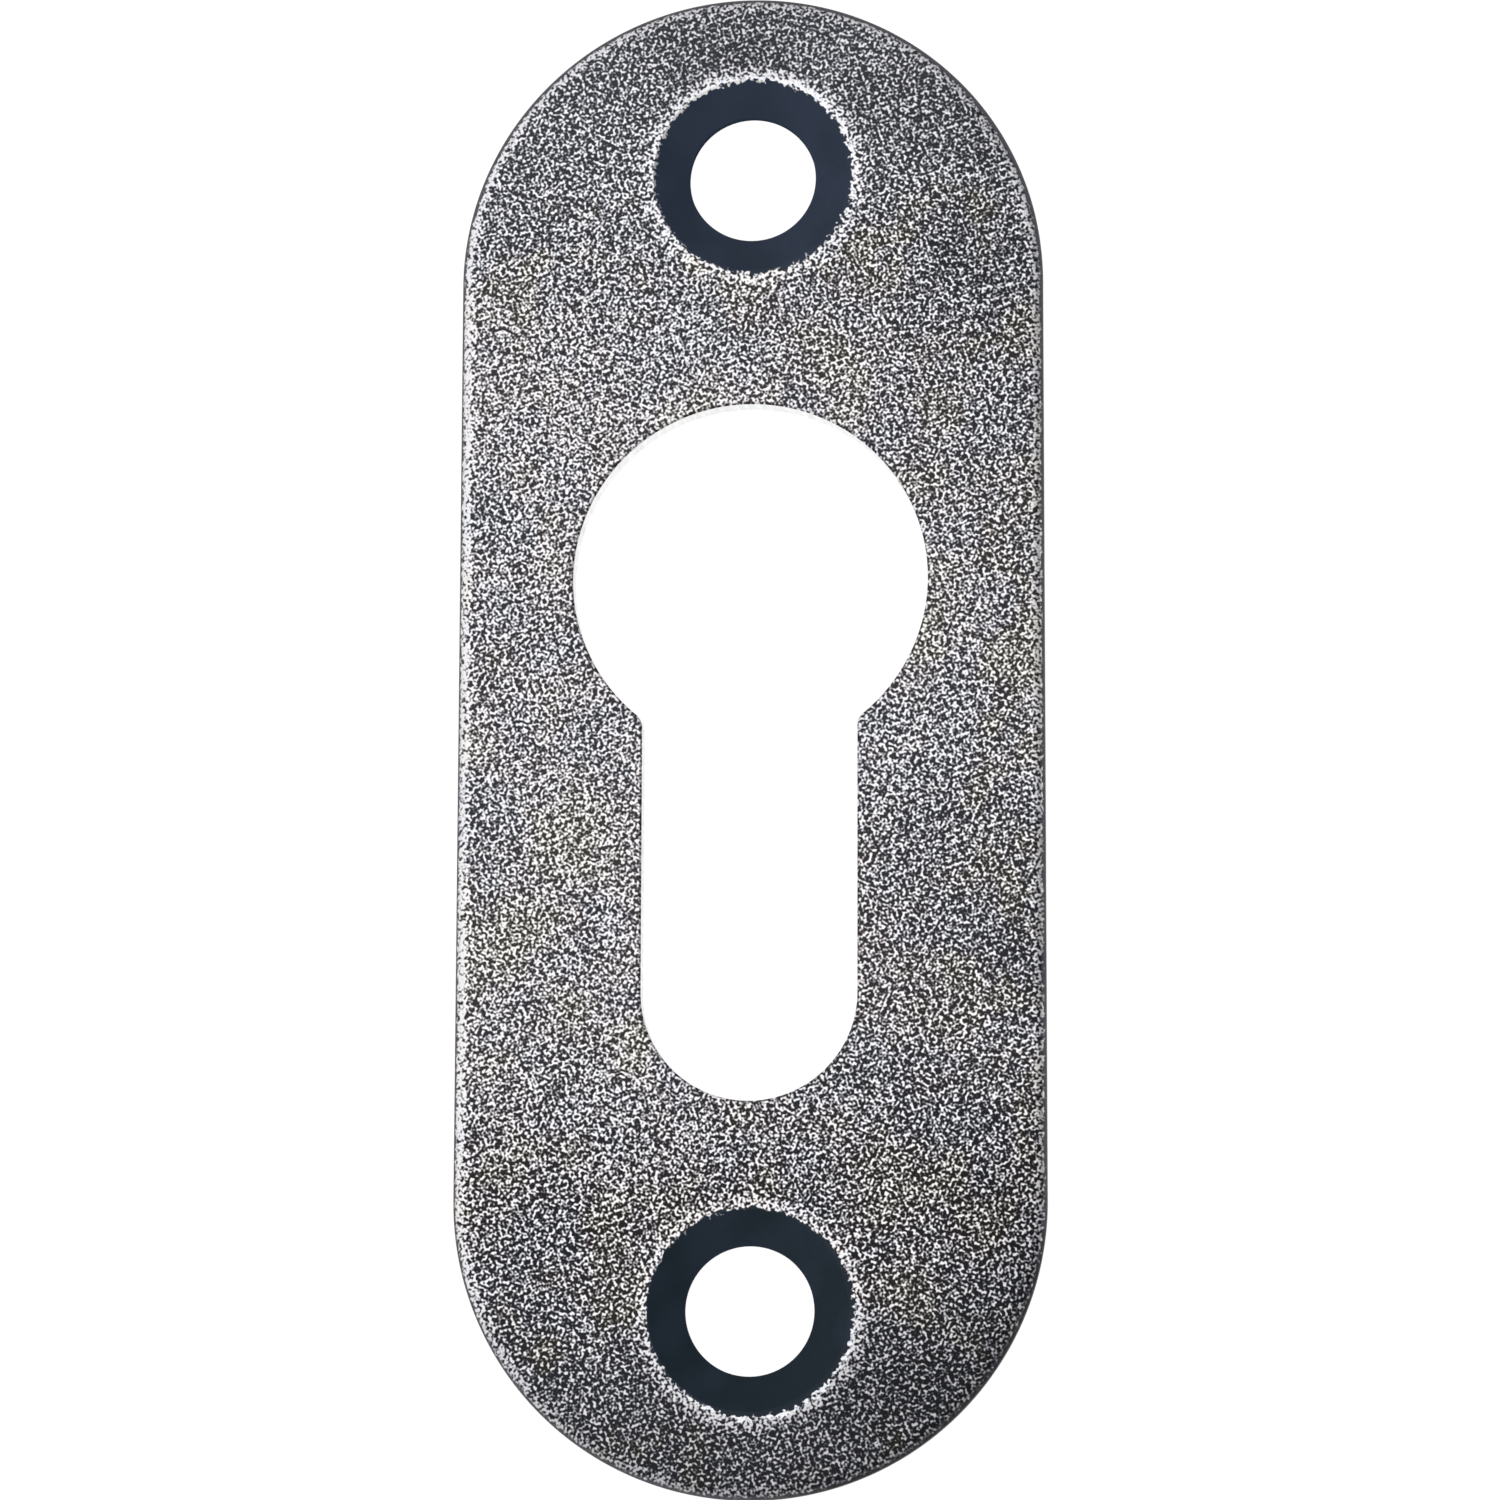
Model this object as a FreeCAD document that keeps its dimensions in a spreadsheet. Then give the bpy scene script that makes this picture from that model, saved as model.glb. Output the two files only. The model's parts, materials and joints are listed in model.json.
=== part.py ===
import FreeCAD, Part

import math
import os

import Sketcher

# Escutcheon plate for a profile lock cylinder, in millimetres.
#
# One flat obround plate, cut and punched from one piece of metal. The lock cylinder passes through
# the keyhole: a round head with a straight slot below it that ends in a full round. One countersunk
# screw hole sits at each end, on the plate's long axis.
#
# Frame: the back face lies at Z = 0 with the origin at its centre, +Z points out of the front face,
# and +Y points along the plate towards the keyhole's round head, which is up on the door.

SIZES = {
    # the blank, which is as long as the screw pitch and the metal past each screw hole make it
    "plate_width": 28.4,
    "plate_thickness": 1.5,
    "front_edge_radius": 0.7,
    "back_edge_break": 0.15,
    # the keyhole, a clearance hole for a cylinder 17 wide at its head and 33 high
    "keyhole_head_diameter": 17.2,
    "keyhole_slot_width": 10.4,
    "keyhole_height": 33.9,
    "keyhole_head_rise": 7.6,
    "keyhole_corner_radius": 0.8,
    "keyhole_edge_break": 0.1,
    # the screw holes
    "screw_pitch": 55.3,
    "screw_hole_from_end": 8.95,
    "screw_hole_diameter": 6.2,
    "countersink_diameter": 9.6,
    "countersink_angle": 120.0,
}

NODE = "escutcheon_plate"

# In a sketch, a curve's start, end and centre are its points 1, 2 and 3; the origin is point 1
# of the X axis, and the axes are curves -1 and -2.
START, END, CENTRE = range(1, 4)
X_AXIS, Y_AXIS = -1, -2

# two heights nearer than this are one
SAME_HEIGHT = 1e-6


def make_sheet(doc):
    """The driving dimensions, one cell each, named by their aliases."""
    sheet = doc.addObject("Spreadsheet::Sheet", "sizes")
    for row, (alias, size) in enumerate(SIZES.items(), start=1):
        cell = f"A{row}"
        sheet.set(cell, str(size))
        sheet.setAlias(cell, alias)
    doc.recompute()
    return sheet


def new_sketch(body, name, height=None):
    """An empty sketch on the body's XY plane, raised to a height that the sheet gives."""
    plane = next(f for f in body.Origin.OriginFeatures if f.Role == "XY_Plane")
    sketch = body.newObject("Sketcher::SketchObject", name)
    sketch.AttachmentSupport = [(plane, "")]
    sketch.MapMode = "FlatFace"
    if height:
        sketch.setExpression("AttachmentOffset.Base.z", height)
    return sketch


def arc(x, y, radius, first, last):
    """Part of a circle about (x, y), counter-clockwise between two angles in radians."""
    circle = Part.Circle(FreeCAD.Vector(x, y, 0), FreeCAD.Vector(0, 0, 1), radius)
    return Part.ArcOfCircle(circle, first, last)


def line(x1, y1, x2, y2):
    """A straight edge between two points."""
    return Part.LineSegment(FreeCAD.Vector(x1, y1, 0), FreeCAD.Vector(x2, y2, 0))


def dimension(sketch, name, formula, kind, *where):
    """A named dimension of the sketch, driven by the sheet."""
    index = sketch.addConstraint(Sketcher.Constraint(kind, *where))
    sketch.renameConstraint(index, name)
    sketch.setExpression("Constraints." + name, formula)


def draw_plate(sketch, sizes):
    """The obround outline: two half circles joined by straight sides, centred on the origin."""
    end_radius = sizes.plate_width / 2
    end_centre = sizes.screw_pitch / 2 + sizes.screw_hole_from_end - end_radius
    sketch.addGeometry([
        arc(0, end_centre, end_radius, 0, math.pi),
        line(-end_radius, end_centre, -end_radius, -end_centre),
        arc(0, -end_centre, end_radius, math.pi, 2 * math.pi),
        line(end_radius, -end_centre, end_radius, end_centre),
    ], False)
    top, left, bottom, right = range(4)
    sketch.addConstraint([
        Sketcher.Constraint("Tangent", top, END, left, START),
        Sketcher.Constraint("Tangent", left, END, bottom, START),
        Sketcher.Constraint("Tangent", bottom, END, right, START),
        Sketcher.Constraint("Tangent", right, END, top, START),
        Sketcher.Constraint("Equal", top, bottom),
        Sketcher.Constraint("PointOnObject", top, CENTRE, Y_AXIS),
        Sketcher.Constraint("Symmetric", top, CENTRE, bottom, CENTRE, X_AXIS, START),
    ])
    dimension(sketch, "end_radius", "sizes.plate_width / 2", "Radius", top, end_radius)
    dimension(sketch, "end_centre",
              "sizes.screw_pitch / 2 + sizes.screw_hole_from_end - sizes.plate_width / 2",
              "DistanceY", X_AXIS, START, top, CENTRE, end_centre)


def draw_keyhole(sketch, sizes):
    """The keyhole: round head, straight slot with a full-round foot, and a small round on each
    corner where the slot leaves the head."""
    head_radius = sizes.keyhole_head_diameter / 2
    head_y = sizes.keyhole_head_rise
    slot_half = sizes.keyhole_slot_width / 2
    foot_y = head_y + head_radius - sizes.keyhole_height + slot_half
    corner_radius = sizes.keyhole_corner_radius
    corner_x = slot_half + corner_radius
    corner_drop = math.sqrt((head_radius + corner_radius) ** 2 - corner_x ** 2)
    corner_y = head_y - corner_drop
    # the angle below the horizontal at which each corner's round meets the head
    meeting = math.atan2(corner_drop, corner_x)
    sketch.addGeometry([
        arc(0, head_y, head_radius, -meeting, math.pi + meeting),
        arc(-corner_x, corner_y, corner_radius, 0, meeting),
        line(-slot_half, corner_y, -slot_half, foot_y),
        arc(0, foot_y, slot_half, math.pi, 2 * math.pi),
        line(slot_half, foot_y, slot_half, corner_y),
        arc(corner_x, corner_y, corner_radius, math.pi - meeting, math.pi),
    ], False)
    head, left_corner, left, foot, right, right_corner = range(6)
    sketch.addConstraint([
        Sketcher.Constraint("Tangent", head, END, left_corner, END),
        Sketcher.Constraint("Tangent", left_corner, START, left, START),
        Sketcher.Constraint("Tangent", left, END, foot, START),
        Sketcher.Constraint("Tangent", foot, END, right, START),
        Sketcher.Constraint("Tangent", right, END, right_corner, END),
        Sketcher.Constraint("Tangent", right_corner, START, head, START),
        Sketcher.Constraint("Vertical", left),
        Sketcher.Constraint("Vertical", right),
        Sketcher.Constraint("Equal", left_corner, right_corner),
        Sketcher.Constraint("PointOnObject", head, CENTRE, Y_AXIS),
        Sketcher.Constraint("PointOnObject", foot, CENTRE, Y_AXIS),
    ])
    dimension(sketch, "head_radius", "sizes.keyhole_head_diameter / 2", "Radius", head, head_radius)
    dimension(sketch, "foot_radius", "sizes.keyhole_slot_width / 2", "Radius", foot, slot_half)
    dimension(sketch, "corner_radius", "sizes.keyhole_corner_radius",
              "Radius", left_corner, corner_radius)
    dimension(sketch, "head_rise", "sizes.keyhole_head_rise",
              "DistanceY", X_AXIS, START, head, CENTRE, head_y)
    dimension(sketch, "head_to_foot",
              "sizes.keyhole_height - (sizes.keyhole_head_diameter + sizes.keyhole_slot_width) / 2",
              "DistanceY", foot, CENTRE, head, CENTRE, head_y - foot_y)


def draw_screw_holes(sketch, sizes):
    """One circle for each screw hole, on the plate's long axis and equally far from its centre."""
    radius = sizes.screw_hole_diameter / 2
    half_pitch = sizes.screw_pitch / 2
    for y in (half_pitch, -half_pitch):
        sketch.addGeometry(Part.Circle(FreeCAD.Vector(0, y, 0), FreeCAD.Vector(0, 0, 1), radius), False)
    upper, lower = range(2)
    sketch.addConstraint([
        Sketcher.Constraint("Equal", upper, lower),
        Sketcher.Constraint("PointOnObject", upper, CENTRE, Y_AXIS),
        Sketcher.Constraint("Symmetric", upper, CENTRE, lower, CENTRE, X_AXIS, START),
    ])
    dimension(sketch, "hole_radius", "sizes.screw_hole_diameter / 2", "Radius", upper, radius)
    dimension(sketch, "pitch", "sizes.screw_pitch",
              "DistanceY", lower, CENTRE, upper, CENTRE, sizes.screw_pitch)


def edge_names(shape, wires):
    """The names of the edges of a shape that lie in the given wires."""
    wanted = [edge for wire in wires for edge in wire.Edges]
    return [f"Edge{number}" for number, edge in enumerate(shape.Edges, start=1)
            if any(edge.isSame(other) for other in wanted)]


def flat_face(shape, height):
    """The plate's one horizontal face at this height."""
    return next(face for face in shape.Faces
                if abs(face.BoundBox.ZMin - height) < SAME_HEIGHT
                and abs(face.BoundBox.ZMax - height) < SAME_HEIGHT)


def keyhole_wire(face):
    """The face's longest wire but its outline, which is the keyhole's edge."""
    inner = [wire for wire in face.Wires if not wire.isSame(face.OuterWire)]
    return max(inner, key=lambda wire: wire.Length)


def make_plate(doc, sizes):
    """The whole escutcheon: blank, keyhole, countersunk screw holes, then its rounded and broken
    edges."""
    body = doc.addObject("PartDesign::Body", NODE)
    body.Label = NODE
    body.Placement = FreeCAD.Placement()

    outline = new_sketch(body, "plate_outline")
    draw_plate(outline, sizes)
    blank = body.newObject("PartDesign::Pad", "blank")
    blank.Profile = outline
    blank.setExpression("Length", "sizes.plate_thickness")
    doc.recompute()

    keyhole = new_sketch(body, "keyhole_outline", "sizes.plate_thickness")
    draw_keyhole(keyhole, sizes)
    keyhole_cut = body.newObject("PartDesign::Pocket", "keyhole")
    keyhole_cut.Profile = keyhole
    keyhole_cut.Type = "ThroughAll"
    doc.recompute()
    must_be_smaller(keyhole_cut, blank)

    centres = new_sketch(body, "screw_hole_centres", "sizes.plate_thickness")
    draw_screw_holes(centres, sizes)
    doc.recompute()
    screw_holes = body.newObject("PartDesign::Hole", "screw_holes")
    screw_holes.Profile = centres
    screw_holes.ThreadType = "None"
    screw_holes.DepthType = "ThroughAll"
    screw_holes.HoleCutType = "Countersink"
    screw_holes.setExpression("Diameter", "sizes.screw_hole_diameter")
    screw_holes.setExpression("HoleCutDiameter", "sizes.countersink_diameter")
    screw_holes.setExpression("HoleCutCountersinkAngle", "sizes.countersink_angle")
    doc.recompute()
    must_be_smaller(screw_holes, keyhole_cut)

    front_rim = body.newObject("PartDesign::Fillet", "front_rim")
    front = flat_face(screw_holes.Shape, sizes.plate_thickness)
    front_rim.Base = (screw_holes, edge_names(screw_holes.Shape, [front.OuterWire]))
    front_rim.setExpression("Radius", "sizes.front_edge_radius")
    doc.recompute()
    must_be_smaller(front_rim, screw_holes)

    back_rim = body.newObject("PartDesign::Chamfer", "back_rim")
    back = flat_face(front_rim.Shape, 0)
    back_rim.Base = (front_rim, edge_names(front_rim.Shape, [back.OuterWire]))
    back_rim.setExpression("Size", "sizes.back_edge_break")
    doc.recompute()
    must_be_smaller(back_rim, front_rim)

    keyhole_rim = body.newObject("PartDesign::Chamfer", "keyhole_rim")
    rims = [keyhole_wire(flat_face(back_rim.Shape, height)) for height in (0, sizes.plate_thickness)]
    keyhole_rim.Base = (back_rim, edge_names(back_rim.Shape, rims))
    keyhole_rim.setExpression("Size", "sizes.keyhole_edge_break")
    doc.recompute()
    must_be_smaller(keyhole_rim, back_rim)

    body.Tip = keyhole_rim
    doc.recompute()
    return body


def must_be_smaller(feature, before):
    """Each cut has to take metal away from the feature before it."""
    if feature.Shape.Volume >= before.Shape.Volume:
        raise RuntimeError(f"{feature.Name} cuts nothing")


def check(doc, bodies):
    """Stops on any object that failed, and on a body whose shape isn't one valid solid."""
    for thing in doc.Objects:
        if "Invalid" in thing.State or "Error" in thing.State:
            raise RuntimeError(f"{thing.Name} failed: {thing.State}")
    for sketch in doc.findObjects("Sketcher::SketchObject"):
        if not sketch.FullyConstrained:
            raise RuntimeError(f"{sketch.Name} isn't fully constrained")
    for body in bodies:
        if body.Shape.isNull() or not body.Shape.isValid() or len(body.Shape.Solids) != 1:
            raise RuntimeError(f"{body.Label} isn't one valid solid")


def main():
    doc = FreeCAD.newDocument("escutcheon")
    sizes = make_sheet(doc)
    bodies = [make_plate(doc, sizes)]
    check(doc, bodies)
    os.makedirs("parts", exist_ok=True)
    for body in bodies:
        body.Shape.exportStep(f"parts/{body.Label}.step")
        box = body.Shape.optimalBoundingBox()
        print(f"{body.Label}: {box.XLength:.2f} x {box.YLength:.2f} x {box.ZLength:.2f} mm, "
              f"{body.Shape.Volume:.1f} mm3, {len(body.Shape.Faces)} faces")


main()
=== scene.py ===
import json
import math

import bpy
import numpy as np
from mathutils import Matrix, Vector


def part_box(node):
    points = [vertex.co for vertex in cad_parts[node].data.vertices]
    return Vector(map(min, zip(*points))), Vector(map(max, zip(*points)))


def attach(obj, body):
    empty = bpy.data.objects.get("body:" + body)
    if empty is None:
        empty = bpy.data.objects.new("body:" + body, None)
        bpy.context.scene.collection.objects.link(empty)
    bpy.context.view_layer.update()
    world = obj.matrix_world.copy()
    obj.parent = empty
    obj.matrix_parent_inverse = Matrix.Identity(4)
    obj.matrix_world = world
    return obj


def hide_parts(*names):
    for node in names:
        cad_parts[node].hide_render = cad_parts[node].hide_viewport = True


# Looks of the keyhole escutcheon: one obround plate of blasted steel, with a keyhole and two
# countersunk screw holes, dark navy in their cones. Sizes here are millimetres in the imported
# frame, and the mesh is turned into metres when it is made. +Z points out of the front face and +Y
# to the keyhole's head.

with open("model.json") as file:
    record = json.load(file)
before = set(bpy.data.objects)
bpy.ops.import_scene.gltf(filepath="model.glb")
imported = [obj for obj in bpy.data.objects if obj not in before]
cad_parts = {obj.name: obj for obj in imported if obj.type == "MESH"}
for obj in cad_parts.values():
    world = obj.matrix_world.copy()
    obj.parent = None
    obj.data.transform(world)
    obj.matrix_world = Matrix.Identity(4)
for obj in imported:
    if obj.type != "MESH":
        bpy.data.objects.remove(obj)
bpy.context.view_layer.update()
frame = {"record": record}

MM = 0.001
NODE = "escutcheon_plate"
MOUNTS = {mount["name"]: mount for mount in frame["record"]["mounts"]}
LOWEST, HIGHEST = (np.array(corner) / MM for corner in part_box(NODE))

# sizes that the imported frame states
WIDTH, LENGTH, THICKNESS = HIGHEST - LOWEST
HEAD_RADIUS = MOUNTS["keyhole_head"]["dims"]["r_mm"]
HEAD_HEIGHT = MOUNTS["keyhole_head"]["pos_m"][1] / MM
HOLE_RADIUS = MOUNTS["screw_holes"]["dims"]["hole_r_mm"]
HOLE_HEIGHT = MOUNTS["screw_holes"]["dims"]["spacing_y_mm"] / 2

# sizes of the edges, the slot and the countersinks, as on the solid
FRONT_EDGE_RADIUS = 0.7
BACK_EDGE_BREAK = 0.15
SLOT_WIDTH = 10.4
KEYHOLE_HEIGHT = 33.9
KEYHOLE_CORNER_RADIUS = 0.8
KEYHOLE_EDGE_BREAK = 0.1
COUNTERSINK_RADIUS = 4.8
COUNTERSINK_ANGLE = 120.0

# what follows from them
END_RADIUS = WIDTH / 2
END_HEIGHT = LENGTH / 2 - END_RADIUS
SLOT_RADIUS = SLOT_WIDTH / 2
HEAD_TOP = HEAD_HEIGHT + HEAD_RADIUS
FOOT_HEIGHT = HEAD_TOP - KEYHOLE_HEIGHT + SLOT_RADIUS
CONE_DEPTH = (COUNTERSINK_RADIUS - HOLE_RADIUS) / math.tan(math.radians(COUNTERSINK_ANGLE / 2))
UPPER_CUT = (HEAD_TOP + HOLE_HEIGHT - COUNTERSINK_RADIUS) / 2
LOWER_CUT = (HEAD_TOP - KEYHOLE_HEIGHT - HOLE_HEIGHT + COUNTERSINK_RADIUS) / 2

# the mesh: the distance between its points, the rows of its zones, how much closer its steps are on
# the keyhole's corner rounds, and where on the foot's circle, in degrees, the lower cut's spokes
# end. Points nearer than SAME_POINT are one, and edges that turn by more than SHARP_ANGLE degrees
# stay crisp.
POINT_SPACING = 0.172
END_ROWS = 50
MIDDLE_ROWS = 38
EDGE_ROWS = 8
CONE_ROWS = 5
BACK_ROWS = 2
CORNER_DENSITY = 2
FOOT_CORNERS = (225, 315)
SAME_POINT = 0.00001
SHARP_ANGLE = 24

# the relief that the mesh carries: its ripples and the height that their sum seldom passes
RELIEF_DEPTH = 0.016
RELIEF_FADE_HEIGHT = 0.2
RIPPLES = 90
RIPPLE_LENGTHS = (0.45, 1.1)
RIPPLE_SEED = 7
RIPPLE_CREST = 1.6


# Paths. A path is an array with one row a point: its place x, y and the unit normal that points
# away from the metal. Moving the points against that normal gives the same path further inside.


def line(start, end, steps, side=1):
    """Points at even steps on a straight line, without its end. The normal is the line's direction
    turned a quarter turn to the right, and the opposite for side -1."""
    start, end = np.array(start, float), np.array(end, float)
    share = np.arange(steps)[:, None] / steps
    along = (end - start) / np.linalg.norm(end - start)
    normal = np.broadcast_to([along[1], -along[0]], (steps, 2))
    return np.hstack([start + (end - start) * share, side * normal])


def arc(centre, radius, start, end, steps, side=1):
    """Points at even angles on a circle, without the arc's end: centre + radius * (cos, sin). The
    normal is (cos, sin) where the metal is inside the circle, and the opposite for side -1."""
    angle = np.radians(start + (end - start) * np.arange(steps) / steps)
    out = np.column_stack([np.cos(angle), np.sin(angle)])
    return np.hstack([np.array(centre) + radius * out, side * out])


def moved_in(path, distance):
    """The path's points moved into the metal by a distance, against their normals."""
    return path[:, :2] - path[:, 2:] * distance


def steps_for(length):
    """The number of steps on a stretch of this length."""
    return int(round(length / POINT_SPACING))


def shared_steps(lengths, total):
    """Whole numbers of steps in proportion to the lengths, which add up to the total: the rounded
    running sums, each less the one before."""
    ends = np.cumsum([0.0, *lengths])
    return np.diff(np.rint(ends / ends[-1] * total)).astype(int)


# numbers of steps on the stretches of the outline that the zones below share
CUT_STEPS = steps_for(WIDTH - 2 * FRONT_EDGE_RADIUS)
ARC_STEPS = steps_for(math.pi * END_RADIUS)
UPPER_STEPS = steps_for(END_HEIGHT - UPPER_CUT)
MIDDLE_STEPS = steps_for(UPPER_CUT - LOWER_CUT)
LOWER_STEPS = steps_for(END_HEIGHT + LOWER_CUT)
UPPER_END = 2 * UPPER_STEPS + ARC_STEPS
LEFT_SIDE_END = UPPER_END + MIDDLE_STEPS
LOWER_END = LEFT_SIDE_END + 2 * LOWER_STEPS + ARC_STEPS


def outline():
    """The plate's outline, counterclockwise from its right side at the upper cut: two half circles
    joined by straight sides."""
    right, top, low = END_RADIUS, END_HEIGHT, -END_HEIGHT
    return np.vstack([
        line((right, UPPER_CUT), (right, top), UPPER_STEPS),
        arc((0, top), END_RADIUS, 0, 180, ARC_STEPS),
        line((-right, top), (-right, UPPER_CUT), UPPER_STEPS),
        line((-right, UPPER_CUT), (-right, LOWER_CUT), MIDDLE_STEPS),
        line((-right, LOWER_CUT), (-right, low), LOWER_STEPS),
        arc((0, low), END_RADIUS, 180, 360, ARC_STEPS),
        line((right, low), (right, LOWER_CUT), LOWER_STEPS),
        line((right, LOWER_CUT), (right, UPPER_CUT), MIDDLE_STEPS),
    ])


def keyhole():
    """The keyhole's outline, counterclockwise from the right shoulder of its head, with as many
    points as the middle zone's rim. The head's circle and the slot's sides meet in corner arcs
    whose centre lies a corner radius outside both. The normal points into the opening."""
    shoulder = math.degrees(math.atan2(UPPER_CUT - HEAD_HEIGHT, END_RADIUS))
    corner_x = SLOT_RADIUS + KEYHOLE_CORNER_RADIUS
    reach = HEAD_RADIUS + KEYHOLE_CORNER_RADIUS
    corner_y = HEAD_HEIGHT - math.sqrt(reach ** 2 - corner_x ** 2)
    neck = math.degrees(math.asin(corner_x / reach))
    flank = 90 - neck
    foot_left, foot_right = FOOT_CORNERS
    lengths = (
        math.radians(90 + shoulder - neck) * HEAD_RADIUS,
        math.radians(flank) * KEYHOLE_CORNER_RADIUS * CORNER_DENSITY,
        corner_y - FOOT_HEIGHT,
        math.radians(foot_left - 180) * SLOT_RADIUS,
    )
    head_steps, corner_steps, side_steps, foot_steps = shared_steps(lengths, MIDDLE_STEPS)
    head, foot = (0, HEAD_HEIGHT), (0, FOOT_HEIGHT)
    low_neck = 270 - neck
    return np.vstack([
        arc(head, HEAD_RADIUS, shoulder, 180 - shoulder, CUT_STEPS, -1),
        arc(head, HEAD_RADIUS, 180 - shoulder, low_neck, head_steps, -1),
        arc((-corner_x, corner_y), KEYHOLE_CORNER_RADIUS, 90 - neck, 0, corner_steps),
        line((-SLOT_RADIUS, corner_y), (-SLOT_RADIUS, FOOT_HEIGHT), side_steps, -1),
        arc(foot, SLOT_RADIUS, 180, foot_left, foot_steps, -1),
        arc(foot, SLOT_RADIUS, foot_left, foot_right, CUT_STEPS, -1),
        arc(foot, SLOT_RADIUS, foot_right, 360, foot_steps, -1),
        line((SLOT_RADIUS, FOOT_HEIGHT), (SLOT_RADIUS, corner_y), side_steps, -1),
        arc((corner_x, corner_y), KEYHOLE_CORNER_RADIUS, 180, 90 + neck, corner_steps),
        arc(head, HEAD_RADIUS, neck - 90, shoulder, head_steps, -1),
    ])


def cut(height, inset, steps=CUT_STEPS):
    """Points at even steps across the plate, from its left side to its right, ends included."""
    reach = END_RADIUS - inset
    return np.column_stack([np.linspace(-reach, reach, steps + 1), np.full(steps + 1, height)])


UPPER_ZONE, MIDDLE_ZONE, LOWER_ZONE = range(3)


def zone_rims(inset):
    """The closed rims of the face's three zones, counterclockwise: the upper end, the middle with
    the keyhole, and the lower end. The two cuts across the plate close them, and neighbours share
    the points of their cut."""
    rim = moved_in(outline(), inset)
    upper, lower = cut(UPPER_CUT, inset), cut(LOWER_CUT, inset)
    right_side = np.vstack([rim[LOWER_END:], rim[:1]])
    return (
        np.vstack([rim[:UPPER_END + 1], upper[1:-1]]),
        np.vstack([upper[::-1], rim[UPPER_END + 1:LEFT_SIDE_END], lower, right_side[1:-1]]),
        np.vstack([rim[LEFT_SIDE_END:LOWER_END + 1], lower[-2:0:-1]]),
    )


def directions_from(centre, rim):
    """Unit vectors from a hole's centre to the points of a zone's rim."""
    away = rim - np.array(centre)
    return away / np.linalg.norm(away, axis=1)[:, None]


# Surfaces. Each is a grid of points, rows by columns by 3. Its rows are closed rings that run
# counterclockwise, and they follow one another up the plate's side, in over the front face, down
# through the hole and out over the back face, so that every surface faces out of the metal.


def ring(points, height):
    """A ring of points at one height, or each at its own."""
    return np.column_stack([points, np.broadcast_to(height, len(points))])


def flat_zone(first, last, height, rows):
    """A flat face between two rings with as many points: straight spokes from first to last, cut
    into even rows."""
    share = np.linspace(0, 1, rows + 1)[:, None, None]
    spokes = first * (1 - share) + last * share
    return np.concatenate([spokes, np.full((*spokes.shape[:2], 1), height)], axis=2)


def carried(path, profile):
    """A profile carried along a path. Each pair in the profile is a distance into the metal and a
    height."""
    return np.stack([ring(moved_in(path, inset), height) for inset, height in profile])


def cone(centre, directions, profile):
    """A profile of radii and heights carried round a hole's axis, along the given directions."""
    centre = np.array(centre)
    return np.stack([ring(centre + directions * radius, height) for radius, height in profile])


def rounded_edge():
    """The front edge's profile, a quarter circle from the side up to the face."""
    turn = np.linspace(0, math.pi / 2, EDGE_ROWS + 1)
    inset = FRONT_EDGE_RADIUS * (1 - np.cos(turn))
    height = THICKNESS - FRONT_EDGE_RADIUS * (1 - np.sin(turn))
    return list(zip(inset, height))


def cone_profile():
    """From the countersink's rim down its cone to the screw hole, at even steps."""
    radius = np.linspace(COUNTERSINK_RADIUS, HOLE_RADIUS, CONE_ROWS + 1)
    height = THICKNESS - np.linspace(0, CONE_DEPTH, CONE_ROWS + 1)
    return list(zip(radius, height))


def plate_surfaces():
    """Every surface of the plate, with the name of its finish and of its chart on the bake map."""
    front_rims = zone_rims(FRONT_EDGE_RADIUS)
    back_rims = zone_rims(BACK_EDGE_BREAK)
    side_path, keyhole_path = outline(), keyhole()
    keyhole_front = moved_in(keyhole_path, KEYHOLE_EDGE_BREAK)
    made = [
        ("side", "side_wall", carried(side_path, [
            (BACK_EDGE_BREAK, 0), (0, BACK_EDGE_BREAK), (0, THICKNESS - FRONT_EDGE_RADIUS)])),
        ("face", "front", carried(side_path, rounded_edge())),
        ("face", "front",
         flat_zone(front_rims[MIDDLE_ZONE], keyhole_front, THICKNESS, MIDDLE_ROWS)),
        ("face", "front", carried(keyhole_path, [
            (KEYHOLE_EDGE_BREAK, THICKNESS), (0, THICKNESS - KEYHOLE_EDGE_BREAK)])),
        ("cut_wall", "keyhole_wall", carried(keyhole_path, [
            (0, THICKNESS - KEYHOLE_EDGE_BREAK), (0, KEYHOLE_EDGE_BREAK),
            (KEYHOLE_EDGE_BREAK, 0)])),
        ("back", "back", flat_zone(keyhole_front, back_rims[MIDDLE_ZONE], 0, BACK_ROWS)),
    ]
    ends = ((UPPER_ZONE, HOLE_HEIGHT, "upper"), (LOWER_ZONE, -HOLE_HEIGHT, "lower"))
    for zone, height, name in ends:
        centre = (0, height)
        directions = directions_from(centre, front_rims[zone])
        rim = cone(centre, directions, [(COUNTERSINK_RADIUS, THICKNESS)])[0, :, :2]
        hole = cone(centre, directions, [(HOLE_RADIUS, 0)])[0, :, :2]
        land = [(HOLE_RADIUS, THICKNESS - CONE_DEPTH), (HOLE_RADIUS, 0)]
        made += [
            ("face", "front", flat_zone(front_rims[zone], rim, THICKNESS, END_ROWS)),
            ("countersink", "front", cone(centre, directions, cone_profile())),
            ("hole_wall", name + "_hole_wall", cone(centre, directions, land)),
            ("back", "back", flat_zone(hole, back_rims[zone], 0, BACK_ROWS)),
        ]
    return made


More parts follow.
